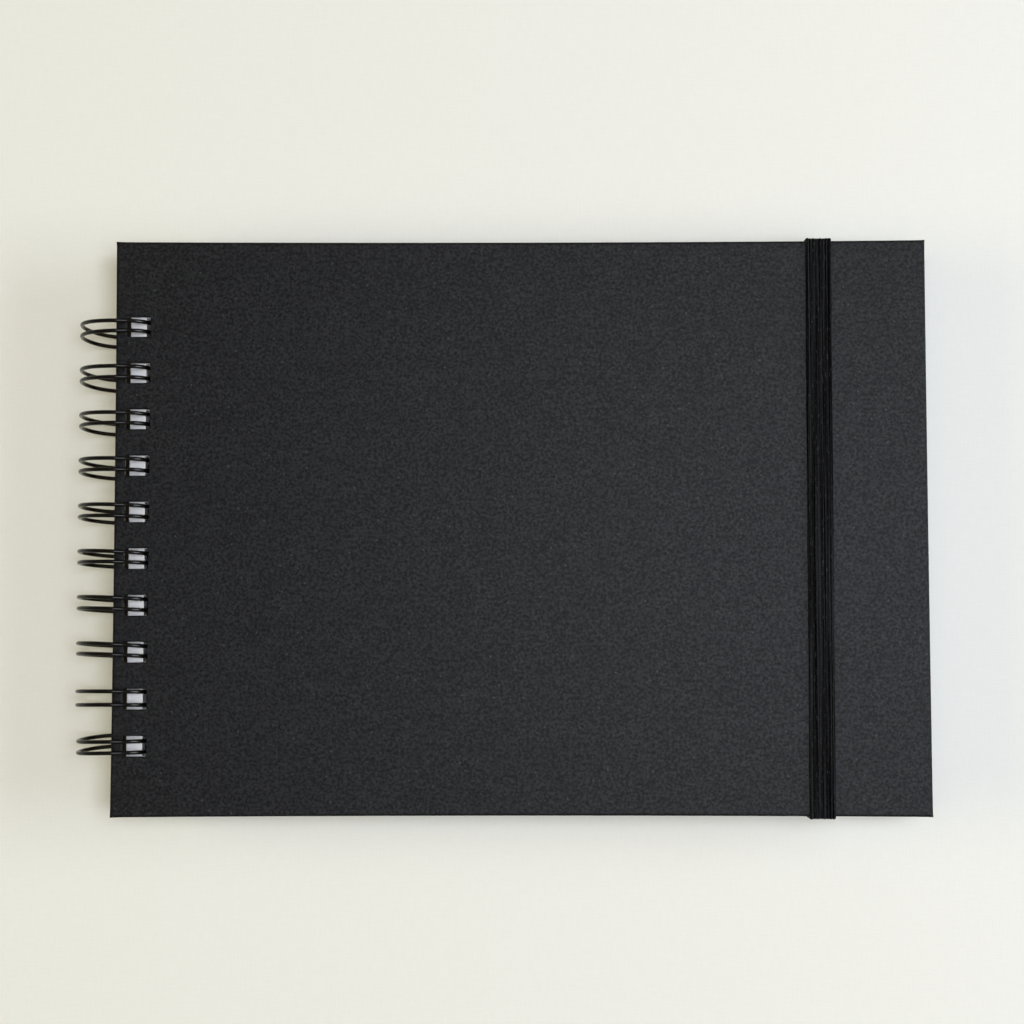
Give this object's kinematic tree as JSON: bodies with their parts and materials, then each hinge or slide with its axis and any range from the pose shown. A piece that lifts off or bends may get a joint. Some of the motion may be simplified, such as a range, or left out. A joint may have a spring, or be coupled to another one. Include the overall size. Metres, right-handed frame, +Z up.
{
  "type": "sketchbook",
  "caption": "Landscape hard-cover sketchbook, black grained covers in a twin-loop wire binding, closed by a flat elastic band.",
  "frame": {"origin": "below the middle of the closed book, level with the lowest point of the wire, which is the plane it lies on", "axes": "+X from the wire binding to the fore edge, +Y along the wire to the cover's upper edge, +Z up out of the front cover"},
  "size_m": [0.2327, 0.1586, 0.021],
  "materials": {
    "cover_paper": "fine-grained black cover paper, low sheen",
    "grey_board": "matte dark board",
    "lining_paper": "smooth matte black paper",
    "drawing_paper": "matte white drawing paper",
    "binding_wire": "glossy black coated steel wire",
    "elastic": "ribbed woven black elastic"
  },
  "bodies": {
    "back_cover": {"back_board": "grey_board", "back_wrap": "cover_paper", "back_lining": "lining_paper", "wire_binding": "binding_wire"},
    "rear_pages": {"sheets_01": "drawing_paper", "sheets_02": "drawing_paper", "sheets_03": "drawing_paper", "sheets_04": "drawing_paper"},
    "middle_pages": {"sheets_05": "drawing_paper", "sheets_06": "drawing_paper", "sheets_07": "drawing_paper", "sheets_08": "drawing_paper"},
    "front_pages": {"sheets_09": "drawing_paper", "sheets_10": "drawing_paper", "sheets_11": "drawing_paper", "sheets_12": "drawing_paper"},
    "top_leaf": {"top_sheet": "drawing_paper"},
    "front_cover": {"front_board": "grey_board", "front_wrap": "cover_paper", "front_lining": "lining_paper"},
    "elastic": {"elastic_band": "elastic"}
  },
  "joints": [
    {"name": "rear_pages_turn", "type": "hinge", "parent": "back_cover", "child": "rear_pages", "pos_m": [-0.10585, 0, 0.0105], "axis": [0, -1, 0], "range_deg": [0, 180], "deforming": ["elastic_band"]},
    {"name": "middle_pages_turn", "type": "hinge", "parent": "rear_pages", "child": "middle_pages", "pos_m": [-0.10585, 0, 0.0105], "axis": [0, -1, 0], "range_deg": [0, 180], "deforming": ["elastic_band"]},
    {"name": "front_pages_turn", "type": "hinge", "parent": "middle_pages", "child": "front_pages", "pos_m": [-0.10585, 0, 0.0105], "axis": [0, -1, 0], "range_deg": [0, 180], "deforming": ["elastic_band"]},
    {"name": "top_leaf_turn", "type": "hinge", "parent": "front_pages", "child": "top_leaf", "pos_m": [-0.10585, 0, 0.0105], "axis": [0, -1, 0], "range_deg": [0, 180], "deforming": ["elastic_band"]},
    {"name": "front_cover_turn", "type": "hinge", "parent": "top_leaf", "child": "front_cover", "pos_m": [-0.10585, 0, 0.0105], "axis": [0, -1, 0], "range_deg": [0, 180], "deforming": ["elastic_band"]},
    {"name": "elastic_slide", "type": "slide", "parent": "back_cover", "child": "elastic", "axis": [1, 0, 0], "range_m": [0, 0.036]}
  ]
}
